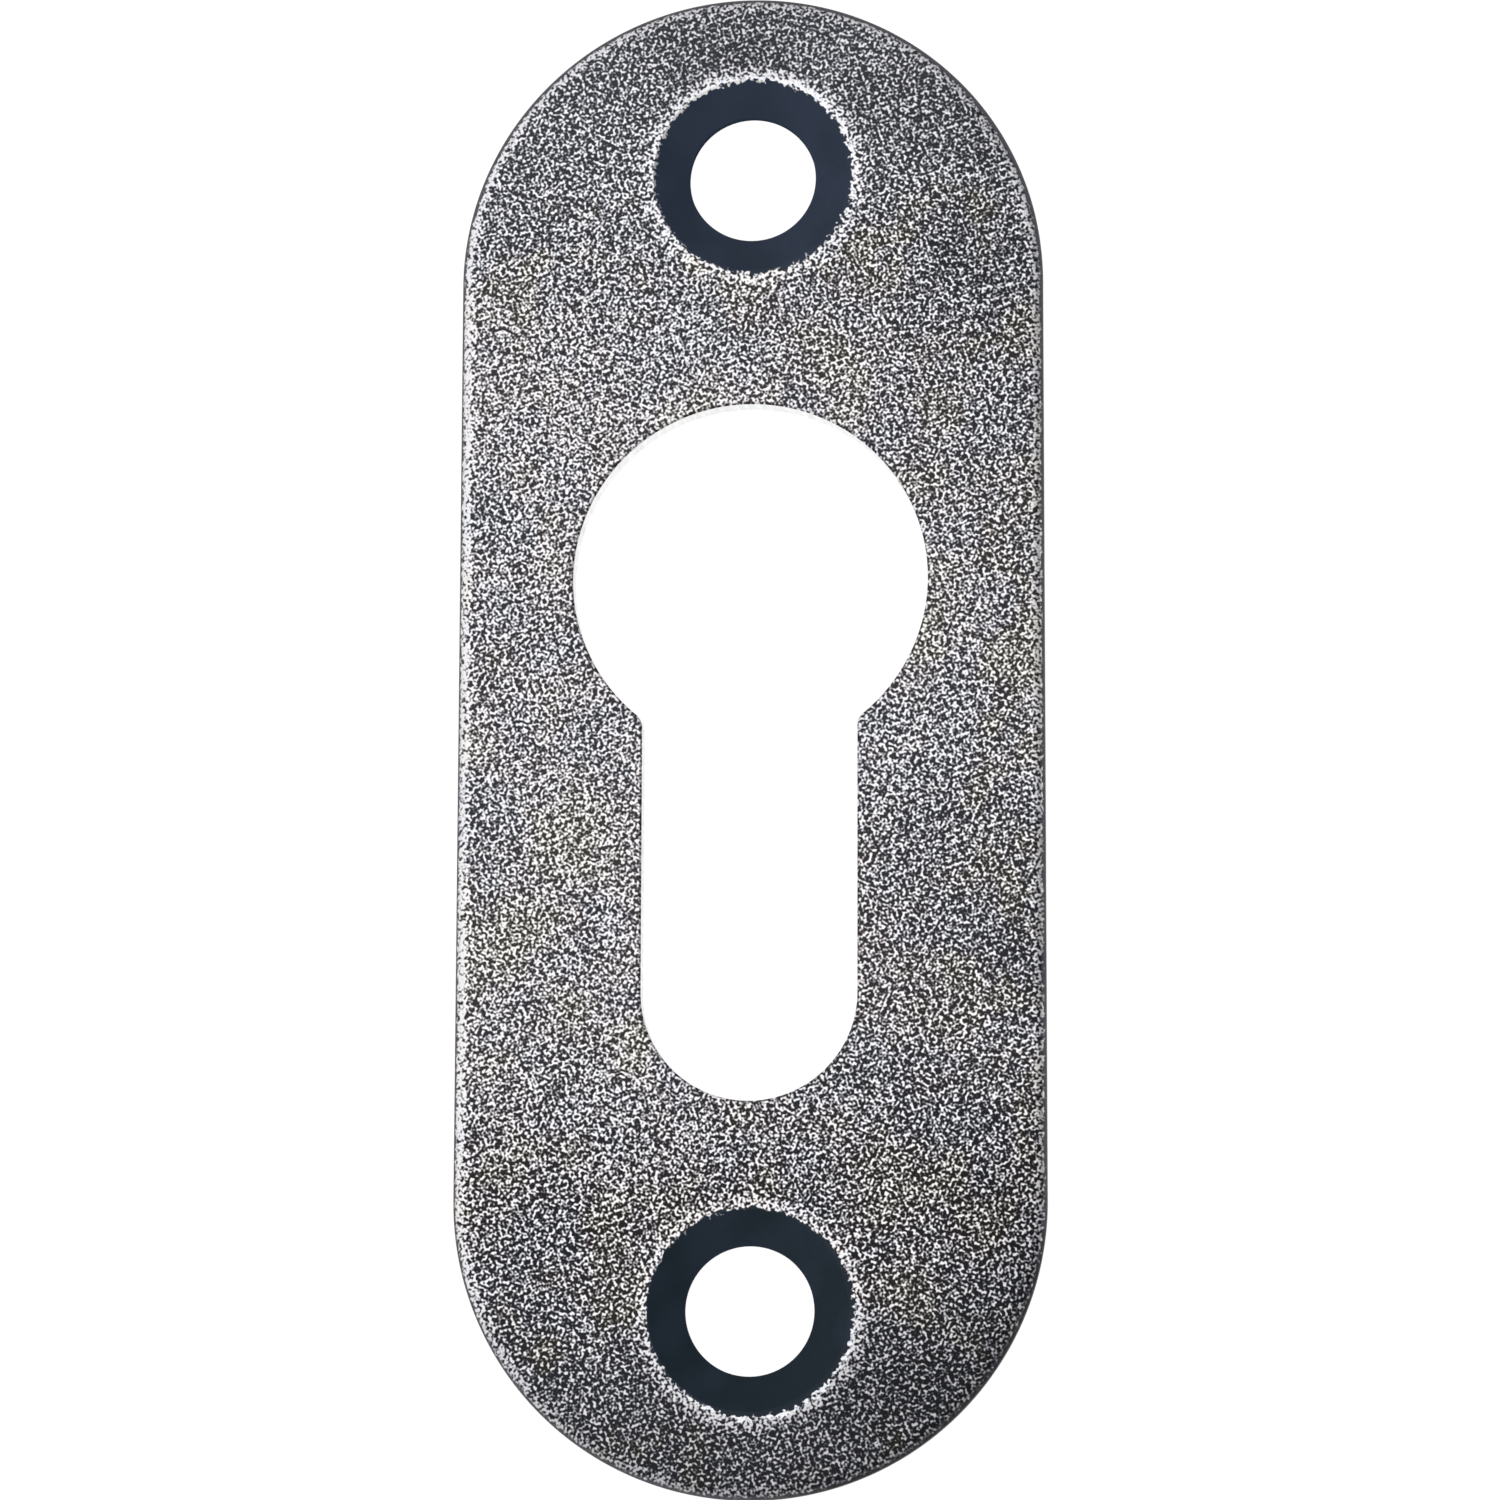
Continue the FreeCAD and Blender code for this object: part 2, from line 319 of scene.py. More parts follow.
def relief_at(x, y):
    """The blasted relief, from about -1 in a pit to 1 on a crest: many ripples added up, each the
    cosine of the distance along its own direction over its own length, from its own start."""
    draw = np.random.default_rng(RIPPLE_SEED)
    turn = draw.uniform(0, math.tau, RIPPLES)
    pace = math.tau / draw.uniform(*RIPPLE_LENGTHS, RIPPLES)
    start = draw.uniform(0, math.tau, RIPPLES)
    phase = np.outer(x, pace * np.cos(turn)) + np.outer(y, pace * np.sin(turn)) + start
    return np.clip(np.cos(phase).sum(axis=1) / math.sqrt(RIPPLES) / RIPPLE_CREST, -1, 1)


# Charts of the bake map, as shares of its side: the front and the back drawn flat and beside each
# other, and each wall as an upright strip.
CHART_MARGIN = 0.004
FACE_SHARE = WIDTH / LENGTH * (1 - 2 * CHART_MARGIN)
WALL_STRIPS = ("side_wall", "keyhole_wall", "upper_hole_wall", "lower_hole_wall")
WALLS_START = 2 * FACE_SHARE + 4 * CHART_MARGIN
STRIP_WIDTH = (1 - WALLS_START) / len(WALL_STRIPS)


def chart_corners(chart, surface, quads):
    """Each quad corner's place on the bake map, quads by 4 by 2. A face is drawn from its x and y.
    A wall's place across is its share of the rows, and its place along is its share of the ring."""
    rows, columns = surface.shape[:2]
    scale = (1 - 2 * CHART_MARGIN) / LENGTH
    if chart in ("front", "back"):
        places = surface.reshape(-1, 3)[quads]
        across = (places[..., 0] + WIDTH / 2) * scale + CHART_MARGIN
        if chart == "back":
            across = 2 * FACE_SHARE + 3 * CHART_MARGIN - across
        return np.stack([across, (places[..., 1] + LENGTH / 2) * scale + CHART_MARGIN], axis=-1)
    row, column = quads // columns, quads % columns
    column = np.where(column < column[:, :1], columns, column)
    start = WALLS_START + WALL_STRIPS.index(chart) * STRIP_WIDTH
    across = start + CHART_MARGIN + row / (rows - 1) * (STRIP_WIDTH - 2 * CHART_MARGIN)
    return np.stack([across, column / columns * (1 - 2 * CHART_MARGIN) + CHART_MARGIN], axis=-1)


def quads_of(surface):
    """The corner numbers of each quad between two rows and two columns, the last column joined to
    the first."""
    rows, columns = surface.shape[:2]
    row = np.arange(rows - 1)[:, None] * columns
    next_row = row + columns
    here = np.arange(columns)
    there = (here + 1) % columns
    corners = [row + here, row + there, next_row + there, next_row + here]
    return np.stack(corners, axis=-1).reshape(-1, 4)


def make_plate(materials):
    """The plate's mesh: every surface's grid, with the points that neighbours share made one, and
    the relief pressed into the front. The relief lowers each point by a share of its depth, which
    fades out below the front face."""
    points, quads, corners, finishes = [], [], [], []
    count = 0
    for finish, chart_name, surface in plate_surfaces():
        mine = quads_of(surface)
        points.append(surface.reshape(-1, 3))
        quads.append(mine + count)
        corners.append(chart_corners(chart_name, surface, mine).reshape(-1, 2))
        finishes.append(np.full(len(mine), list(materials).index(finish)))
        count += len(points[-1])
    points = np.vstack(points)
    whole = np.rint(points / SAME_POINT).astype(np.int64)
    _, first, shared = np.unique(whole, axis=0, return_index=True, return_inverse=True)
    points = points[first]
    relief = relief_at(points[:, 0], points[:, 1])
    near = np.clip((points[:, 2] - THICKNESS) / RELIEF_FADE_HEIGHT + 1, 0, 1)
    points[:, 2] -= RELIEF_DEPTH * near * (1 - relief) / 2

    mesh = bpy.data.meshes.new(NODE + "_dressed")
    faces = shared.reshape(-1)[np.vstack(quads)]
    mesh.from_pydata((points * MM).tolist(), [], faces.tolist())
    mesh.polygons.foreach_set("material_index", np.concatenate(finishes).astype(np.int32))
    chart = mesh.uv_layers.new(name="OFBake")
    chart.data.foreach_set("uv", np.vstack(corners).astype(np.float32).ravel())
    for material in materials.values():
        mesh.materials.append(material)
    mesh.shade_smooth()
    mesh.set_sharp_from_angle(angle=math.radians(SHARP_ANGLE))
    mesh.update()
    plate = bpy.data.objects.new("blasted_plate", mesh)
    bpy.context.scene.collection.objects.link(plate)
    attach(plate, "root")
    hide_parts(NODE)
    return plate


# Materials. Small helpers that put nodes into a tree, then the effects that several finishes share
# as node groups, then one function for each finish.


def fill(tree, sockets, values):
    """Gives each named or numbered socket its plain value or its link."""
    for name, value in values.items():
        if isinstance(value, bpy.types.NodeSocket):
            tree.links.new(value, sockets[name])
        else:
            sockets[name].default_value = value


def put(tree, kind, inputs=None, **settings):
    """A node with its settings and its filled inputs."""
    made = tree.nodes.new(kind)
    for name, value in settings.items():
        setattr(made, name, value)
    fill(tree, made.inputs, inputs or {})
    return made


def reckon(tree, operation, *values):
    """The result of one sum on numbers or sockets."""
    return put(tree, "ShaderNodeMath", dict(enumerate(values)), operation=operation).outputs[0]


def spread(tree, value, low, high, to_low=0.0, to_high=1.0, kind="LINEAR"):
    """The value's place between low and high, carried over to another stretch and kept in it."""
    inputs = {"Value": value, "From Min": low, "From Max": high}
    inputs |= {"To Min": to_low, "To Max": to_high}
    return put(tree, "ShaderNodeMapRange", inputs, interpolation_type=kind).outputs["Result"]


def over(tree, coordinate, stretch, to_start=0.0, to_end=1.0):
    """A value that goes from one to the other over a stretch of x or y, in millimetres."""
    start, end = stretch
    return spread(tree, coordinate, start * MM, end * MM, to_start, to_end)


def blend(tree, share, first, second, kind="MIX"):
    """A colour between two colours, or the two multiplied."""
    inputs = {0: share, 6: first, 7: second}
    return put(tree, "ShaderNodeMix", inputs, data_type="RGBA", blend_type=kind).outputs[2]


def noise(tree, place, size, detail=0.0, kind="3D"):
    """Cloudy noise around 0.5. The size, in millimetres, is that of one cell of the noise."""
    if isinstance(size, bpy.types.NodeSocket):
        scale = reckon(tree, "DIVIDE", 1 / MM, size)
    else:
        scale = 1 / (size * MM)
    inputs = {"Vector": place, "Scale": scale, "Detail": detail}
    return put(tree, "ShaderNodeTexNoise", inputs, noise_dimensions=kind).outputs["Fac"]


def object_place(tree):
    """Where a point lies on the plate, in metres."""
    return put(tree, "ShaderNodeTexCoord").outputs["Object"]


def coordinates(tree, place):
    """A place's X, Y and Z."""
    return put(tree, "ShaderNodeSeparateXYZ", {0: place}).outputs


def group(name, inputs, outputs):
    """A new node group with float inputs and their usual values, and typed outputs."""
    tree = bpy.data.node_groups.new(name, "ShaderNodeTree")
    for label, usual in inputs.items():
        made = tree.interface.new_socket(label, in_out="INPUT", socket_type="NodeSocketFloat")
        made.default_value = usual
    for label, kind in outputs.items():
        tree.interface.new_socket(label, in_out="OUTPUT", socket_type="NodeSocket" + kind)
    given = tree.nodes.new("NodeGroupInput").outputs
    return tree, given, tree.nodes.new("NodeGroupOutput").inputs


def use(tree, shared, inputs=None):
    """The outputs of a node group placed in a material, with the material's own values."""
    return put(tree, "ShaderNodeGroup", inputs, node_tree=shared).outputs


# the middle of a noise, and the stretch that it seldom leaves
NOISE_MIDDLE = 0.5
NOISE_STRETCH = (0.3, 0.7)

# colours, as linear light
BLACK = (0, 0, 0, 1)
WHITE = (1, 1, 1, 1)
CREST = (0.90, 0.89, 0.895, 1)
RIM_STEEL = (0.30, 0.30, 0.31, 1)
# painted shade: the dark line at the plate's very edge, near black at the lower right
EDGE_SHADE = (0.07, 0.07, 0.075, 1)
EDGE_DEEP_SHADE = (0.003, 0.003, 0.004, 1)
RIM_HIGHLIGHT = (0.93, 0.92, 0.90, 1)
NAVY = (0.0195, 0.031, 0.058, 1)
# painted shade: the cones' navy at the lower end, darker and a little greener
LOWER_NAVY_SHADE = (0.0035, 0.0120, 0.0215, 1)
HOLE_NAVY = (0.030, 0.045, 0.078, 1)
CUT_STEEL = (0.93, 0.93, 0.93, 1)
CUT_MARK = (0.80, 0.80, 0.81, 1)
# painted shade: the outer side darkened so that the edge reads dark
SIDE_SHADE = (0.09, 0.09, 0.095, 1)
SIDE_SHADED_STEEL = (0.18, 0.18, 0.185, 1)
BACK_DARK = (0.09, 0.09, 0.095, 1)
BACK_STEEL = (0.40, 0.40, 0.41, 1)
PINKISH = (1.0, 0.91, 0.98, 1)
YELLOWISH = (1.0, 0.96, 0.865, 1)
BLUISH = (0.82, 0.855, 1.0, 1)

# the side of a hole where the painted highlight is strongest, as an angle from +X towards the
# plate's nearer end
HIGHLIGHT_TURN = math.radians(60)
# how far the rims of the cones' dark navy lie off the holes' axes, and how much wider each is
NAVY_RIM_SHIFT = (0.11, -0.09)
NAVY_RIM_EXCESS = {"upper": 0.06, "lower": 0.16}


def plate_distances_group():
    """How far a place is from the plate's outline and from the nearer countersink's rim, seen from
    the front, in millimetres. The outline's distance is the end radius less the length of
    (x, height past the end's centre). The rim's is the distance to a centre just beside the hole's
    less the radius of the dark navy's rim. Highlight side is 1 on the side of each hole where the
    painted highlight is strongest, -1 on the other side, and the cosine of the angle in between.
    Left rim is 1 where the outline faces left and -1 where it faces right."""
    labels = ("From outline", "From countersink", "Highlight side", "Left rim")
    tree, _, out = group("plate_distances", {}, dict.fromkeys(labels, "Float"))
    parts = coordinates(tree, object_place(tree))
    x = reckon(tree, "DIVIDE", parts["X"], MM)
    height = reckon(tree, "DIVIDE", reckon(tree, "ABSOLUTE", parts["Y"]), MM)
    past_end = reckon(tree, "MAXIMUM", reckon(tree, "SUBTRACT", height, END_HEIGHT), 0.0)
    upper = reckon(tree, "SIGN", parts["Y"])
    down = reckon(tree, "MULTIPLY", upper, NAVY_RIM_SHIFT[1])
    past_hole = reckon(tree, "SUBTRACT", height, reckon(tree, "ADD", down, HOLE_HEIGHT))
    beside = reckon(tree, "SUBTRACT", x, NAVY_RIM_SHIFT[0])
    navy_radius = spread(tree, upper, -1, 1, COUNTERSINK_RADIUS + NAVY_RIM_EXCESS["lower"],
                         COUNTERSINK_RADIUS + NAVY_RIM_EXCESS["upper"])

    def length(a, b):
        squares = [reckon(tree, "MULTIPLY", side, side) for side in (a, b)]
        return reckon(tree, "SQRT", reckon(tree, "ADD", *squares))

    from_axis = length(beside, past_hole)
    across = reckon(tree, "MULTIPLY", beside, math.cos(HIGHLIGHT_TURN))
    toward = reckon(tree, "MULTIPLY_ADD", past_hole, math.sin(HIGHLIGHT_TURN), across)
    from_middle = length(x, past_end)
    fill(tree, out, {
        "From outline": reckon(tree, "SUBTRACT", END_RADIUS, from_middle),
        "Left rim": reckon(tree, "DIVIDE", reckon(tree, "MULTIPLY", x, -1.0), from_middle),
        "From countersink": reckon(tree, "SUBTRACT", from_axis, navy_radius),
        "Highlight side": reckon(tree, "DIVIDE", toward, from_axis),
    })
    return tree


# the grain's layers of noise: the size of each against the finest, its share of the height, and its
# own turn, so that the squares of their cells never line up. The last one is folded into ridges.
GRAIN_LAYERS = ((1.0, 0.55, 1.2), (1.7, 0.25, 1.9))
RIDGE_LAYER = (2.2, 0.65, 0.5)
RIDGE_CREST = 0.098


def blasted_grain_group():
    """The blasted grain: flat noise of two sizes, plus ridges where a coarser noise passes its
    middle, stretched about a middle height until crests and pits fill the whole range. Grain is 0
    in a pit and 1 on a crest."""
    inputs = {"Grain size": 0.14, "Middle": 0.0, "Softness": 0.139}
    tree, given, out = group("blasted_grain", inputs, {"Grain": "Float"})
    place = object_place(tree)

    def around_middle(ratio, turn):
        inputs = {"Vector": place, "Rotation": (0, 0, turn)}
        turned = put(tree, "ShaderNodeMapping", inputs).outputs[0]
        size = reckon(tree, "MULTIPLY", given["Grain size"], ratio)
        return reckon(tree, "SUBTRACT", noise(tree, turned, size, kind="2D"), NOISE_MIDDLE)

    ratio, share, turn = RIDGE_LAYER
    off_line = reckon(tree, "ABSOLUTE", around_middle(ratio, turn))
    ridge = reckon(tree, "SUBTRACT", RIDGE_CREST, off_line)
    height = reckon(tree, "MULTIPLY", ridge, share)
    for ratio, share, turn in GRAIN_LAYERS:
        height = reckon(tree, "MULTIPLY_ADD", around_middle(ratio, turn), share, height)
    low = reckon(tree, "SUBTRACT", given["Middle"], given["Softness"])
    high = reckon(tree, "ADD", given["Middle"], given["Softness"])
    fill(tree, out, {"Grain": spread(tree, height, low, high, kind="SMOOTHSTEP")})
    return tree


def ragged_edge_group():
    """Whether a place is past a ragged line, 1, or before it, 0: the distance plus noise times the
    raggedness, against the line's own distance."""
    inputs = {"Distance": 0.0, "Line": 0.0, "Raggedness": 0.1, "Tooth size": 0.25, "Softness": 0.05}
    tree, given, out = group("ragged_edge", inputs, {"Past": "Float"})
    teeth = noise(tree, object_place(tree), given["Tooth size"], detail=1.0)
    teeth = reckon(tree, "SUBTRACT", teeth, NOISE_MIDDLE)
    shift = reckon(tree, "MULTIPLY", teeth, given["Raggedness"])
    moved = reckon(tree, "ADD", reckon(tree, "SUBTRACT", given["Distance"], given["Line"]), shift)
    low = reckon(tree, "MULTIPLY", given["Softness"], -0.5)
    high = reckon(tree, "MULTIPLY", given["Softness"], 0.5)
    fill(tree, out, {"Past": spread(tree, moved, low, high, kind="SMOOTHSTEP")})
    return tree


# the brightest spot of the painted light falloff on the face, and the distances from it over which
# painted shade sets in
PAINTED_LIGHT_CENTRE = (-11.0, 0.0, THICKNESS)
PAINTED_FALLOFF_REACH = (18.0, 40.0)
# the most of that painted shade that the upper half takes, and the heights over which this limit
# sets in
MOST_UPPER_FALLOFF = 0.62
UPPER_HALF = (-10.0, 10.0)
# zones of painted shade, and of painted light where the loss is below nothing. Each sets in from a
# least share to the whole over a stretch of x, and from nothing to its loss over a stretch of y: the
# lower left side, the upper face, the upper end, the right side beside the slot, where the first of
# two rows begins the zone and the second ends it, and the lower right end.
PAINTED_LIGHT_ZONES = (
    ((4.0, -9.0), 0.25, (5.0, -20.0), 0.010),
    ((12.0, 5.0), 0.2, (12.0, 19.0), -0.007),
    ((9.0, 12.0), 1.0, (27.5, 31.5), 0.012),
    ((2.0, 5.0), 0.0, (-1.5, -4.0), 0.015),
    ((2.0, 5.0), 0.0, (-12.5, -15.0), -0.015),
    ((-2.0, 9.0), 0.2, (-27.0, -31.0), 0.011),
)
# how much further towards bluish the ends and the right side are, each with the stretch of y or x
# over which that sets in, and the stretches of the drift that turn yellowish to pinkish and warm
# to bluish
COOL_LOWER_END = ((-25.0, -31.0), 0.20)
COOL_UPPER_END = ((20.0, 34.0), 0.36)
COOL_RIGHT_SIDE = ((7.0, 13.0), 0.08)
PINK_DRIFT = (0.36, 0.48)
BLUE_DRIFT = (0.48, 0.62)


def painted_falloff_and_tint_group():
    """Painted light falloff with slow clouds of random tone, and the tint of a place. Lift raises
    the grain's middle height, so that pits take more of the face: painted shade that grows away from
    the brightest spot, with a limit in the upper half, plus the painted light and shade of the zones
    and slow clouds. The tint drifts from patch to patch, and is most bluish at the two ends and on
    the right side."""
    inputs = {"Cloud size": 7.0, "Cloud strength": 0.03, "Painted falloff": 0.066, "Tint size": 3.0}
    tree, given, out = group("painted_falloff_and_tint", inputs, {"Lift": "Float", "Tint": "Color"})
    place = object_place(tree)
    parts = coordinates(tree, place)
    across, along = parts["X"], parts["Y"]
    light_centre = [part * MM for part in PAINTED_LIGHT_CENTRE]
    away = put(tree, "ShaderNodeVectorMath", {0: place, 1: light_centre}, operation="DISTANCE")
    share = spread(tree, reckon(tree, "DIVIDE", away.outputs["Value"], MM), *PAINTED_FALLOFF_REACH)
    limit = over(tree, along, UPPER_HALF, 1.0, MOST_UPPER_FALLOFF)
    # painted light falloff: the grain darkens away from the brightest spot, less so in the upper
    # half
    painted_falloff = reckon(tree, "MULTIPLY", reckon(tree, "MINIMUM", share, limit), given["Painted falloff"])
    # painted light and shade, zone by zone
    for x_stretch, least, y_stretch, loss in PAINTED_LIGHT_ZONES:
        side = over(tree, across, x_stretch, least, 1)
        painted_falloff = reckon(tree, "MULTIPLY_ADD", side, over(tree, along, y_stretch, 0, loss), painted_falloff)
    clouds = noise(tree, place, given["Cloud size"], detail=2.0)
    clouds = reckon(tree, "SUBTRACT", clouds, NOISE_MIDDLE)
    lift = reckon(tree, "MULTIPLY_ADD", clouds, given["Cloud strength"], painted_falloff)

    drift = noise(tree, place, given["Tint size"], detail=3.0)
    cool = drift
    pushes = ((along, COOL_LOWER_END), (along, COOL_UPPER_END), (across, COOL_RIGHT_SIDE))
    for coordinate, (stretch, most) in pushes:
        cool = reckon(tree, "ADD", cool, over(tree, coordinate, stretch, 0, most))
    warm = blend(tree, spread(tree, drift, *PINK_DRIFT), YELLOWISH, PINKISH)
    tint = blend(tree, spread(tree, cool, *BLUE_DRIFT), warm, BLUISH)
    fill(tree, out, {"Lift": lift, "Tint": tint})
    return tree


# the share of the darker, greener navy at the upper hole and at the lower one, painted shade that
# grows towards the lower end, and how far it drifts
LOWER_SHADE_SHARES = (0.05, 0.95)
NAVY_DRIFT = 0.2


def dark_navy_group():
    """The dark navy of the countersinks, with a slow drift towards a darker green, and darker and
    greener at the lower end, where the darkening is painted shade."""
    tree, given, out = group("dark_navy", {"Drift size": 2.0}, {"Color": "Color"})
    place = object_place(tree)
    # painted shade: darker and greener towards the lower hole
    lower = over(tree, coordinates(tree, place)["Y"], (HOLE_HEIGHT, -HOLE_HEIGHT), *LOWER_SHADE_SHARES)
    drift = noise(tree, place, given["Drift size"])
    drift = spread(tree, drift, *NOISE_STRETCH, -NAVY_DRIFT, NAVY_DRIFT)
    fill(tree, out, {"Color": blend(tree, reckon(tree, "ADD", drift, lower), NAVY, LOWER_NAVY_SHADE)})
    return tree


DISTANCES = plate_distances_group()
BLASTED_GRAIN = blasted_grain_group()
RAGGED_EDGE = ragged_edge_group()
PAINTED_FALLOFF_AND_TINT = painted_falloff_and_tint_group()
DARK_NAVY = dark_navy_group()


def new_finish(name, metallic):
    """A new material, its node tree and its shader's inputs."""
    material = bpy.data.materials.new(name)
    material.use_nodes = True
    shader = material.node_tree.nodes["Principled BSDF"].inputs
    shader["Metallic"].default_value = metallic
    return material, material.node_tree, shader


def past_ragged(tree, distance, edge_line, rag):
    """1 past a ragged line at a distance, and 0 before it."""
    return use(tree, RAGGED_EDGE, {"Distance": distance, "Line": edge_line, **rag})["Past"]


# the heights over which the rim changes towards the upper end
UPPER_RIM = (20.0, 30.0)
# the lower right part of the rim: how little it faces left, and the heights where it begins
LOWER_RIGHT_FACING = (0.0, -0.3)
LOWER_RIGHT_HEIGHTS = (-22.0, -26.0)
# the rim is worn bright from the first distance to the second, and carries a painted highlight
# there. The wear and the painted highlight lower the grain's middle height, less at the right and
# more where the rim faces left, towards the light, with a part of it given back at the lower right
# as painted shade and some more taken off at the upper rim as a painted highlight.
RIM_WEAR_AND_LIGHT = (0.8, 0.35)
LEFT_FACING = (0.3, 1)
RIM_WEAR_AND_HIGHLIGHT = (-0.075, -0.14)
LOWER_RIGHT_SHADE = 0.045
UPPER_RIM_HIGHLIGHT = 0.05
# the same painted highlight round the countersinks, from the side with least of it to the side with
# most
CONE_HIGHLIGHT_REACH = (0.8, 0.15)
CONE_HIGHLIGHT_LIFTS = (-0.09, -0.15)


def worn_and_lit_lift(tree, distance, along, lower_right):
    """How far wear and painted highlights lower the grain's middle height, at the plate's rim and at
    the cones' rims.
    """
    near_rim = spread(tree, distance["From outline"], *RIM_WEAR_AND_LIGHT, kind="SMOOTHSTEP")
    # painted highlight where the rim faces left, given back as painted shade at the lower right, and
    # more painted highlight at the upper rim
    rim_wear_and_highlight = spread(tree, distance["Left rim"], *LEFT_FACING, *RIM_WEAR_AND_HIGHLIGHT)
    rim_wear_and_highlight = reckon(tree, "MULTIPLY_ADD", lower_right, LOWER_RIGHT_SHADE, rim_wear_and_highlight)
    upper_highlight = over(tree, along, UPPER_RIM, 0, UPPER_RIM_HIGHLIGHT)
    worn_and_lit = reckon(tree, "MULTIPLY", near_rim, reckon(tree, "SUBTRACT", rim_wear_and_highlight, upper_highlight))
    # painted highlight: brighter grain round each countersink, most on one side
    near_cone = spread(tree, distance["From countersink"], *CONE_HIGHLIGHT_REACH)
    cone_highlight = spread(tree, distance["Highlight side"], -1, 1, *CONE_HIGHLIGHT_LIFTS)
    return reckon(tree, "MULTIPLY_ADD", near_cone, cone_highlight, worn_and_lit)


# the tone of a pit where a crest is 1: in the middle, hazier at both ends, darker lower down
PIT_TONE = 0.235
HAZY_PIT_TONE = 0.31
HAZE_HEIGHTS = (24.0, 34.0)
LOWER_PIT_HEIGHTS = (-12.0, -22.0)
LOWER_PIT_LOSS = -0.05
# the power that the tone is raised to, and how much steeper it gets with the lift, which darkens the
# grain as painted shade of the light's falloff
TONE_CURVE = 2.2
CURVE_PER_LIFT = 6
# the lifts between which the crests dim as painted shade, and their dimmest
SHADE_LIFTS = (0.037, 0.067)
DEEPEST_SHADE = 0.6


def grain_shade(tree, grain, lift, along):
    """How bright the grain is, from black to the crests' full colour: its tone raised to a power,
    and dimmed with the lift as painted shade of the light's falloff."""
    height = reckon(tree, "ABSOLUTE", along)
    pit = reckon(tree, "ADD", over(tree, height, HAZE_HEIGHTS, PIT_TONE, HAZY_PIT_TONE),
                 over(tree, along, LOWER_PIT_HEIGHTS, 0, LOWER_PIT_LOSS))
    tone = reckon(tree, "MULTIPLY_ADD", grain, reckon(tree, "SUBTRACT", 1.0, pit), pit)
    curve = reckon(tree, "MULTIPLY_ADD", lift, CURVE_PER_LIFT, TONE_CURVE)
    # painted shade: the crests dim where the painted falloff lifts the grain
    painted_dim = spread(tree, lift, *SHADE_LIFTS, 1.0, DEEPEST_SHADE)
    return reckon(tree, "MULTIPLY", reckon(tree, "POWER", tone, curve), painted_dim)


# the painted highlight's width on the side with least and with most of it, how much narrower it is
# at the lower hole, and the size and the height of the waves in it
HIGHLIGHT_WIDTHS = (-0.25, 0.17)
LOWER_HIGHLIGHT_LOSS = 0.05
LOWER_HALF = (1.0, -1.0)
HIGHLIGHT_WAVE_SIZE = 1.3
HIGHLIGHT_WAVE = 0.08


def highlight_width(tree, distance, place, along):
    """How far the painted highlight reaches out from a countersink's rim."""
    wavy = noise(tree, place, HIGHLIGHT_WAVE_SIZE, detail=1.0)
    wavy = spread(tree, wavy, *NOISE_STRETCH, -HIGHLIGHT_WAVE, HIGHLIGHT_WAVE)
    width = spread(tree, distance["Highlight side"], -1, 1, *HIGHLIGHT_WIDTHS)
    width = reckon(tree, "ADD", wavy, width)
    return reckon(tree, "SUBTRACT", width, over(tree, along, LOWER_HALF, 0, LOWER_HIGHLIGHT_LOSS))


# the edge's steep outer part, and the share of the grain's look there and past it
STEEP_EDGE = (0.0, 0.3)
GRAIN_SHARES = (0.6, 1.0)
# the painted shade line at the very edge: its width, which grows over the upper rim
EDGE_SHADE_WIDTHS = (0.14, 0.28)
# how ragged the painted shade line at the edge, the painted highlight's outer edge and the dark
# navy's edge are
EDGE_SHADE_RAG = {"Raggedness": 0.3, "Tooth size": 0.2, "Softness": 0.1}
HIGHLIGHT_RAG = {"Raggedness": 0.65, "Tooth size": 0.2, "Softness": 0.08}
CONE_RAG = {"Raggedness": 0.7, "Tooth size": 0.24, "Softness": 0.1}
# how much of the tint a pit and a crest take
TINT_SHARES = (1.0, 0.15)
# the face's metal, the roughness at the painted shade line in a pit and on a crest, and how much
# less rough the face is than the line
FACE_METALLIC = 0.8
LINE_ROUGHNESS = (0.66, 0.58)
FACE_SMOOTHER = -0.3
FAINT_SHEEN = 0.2


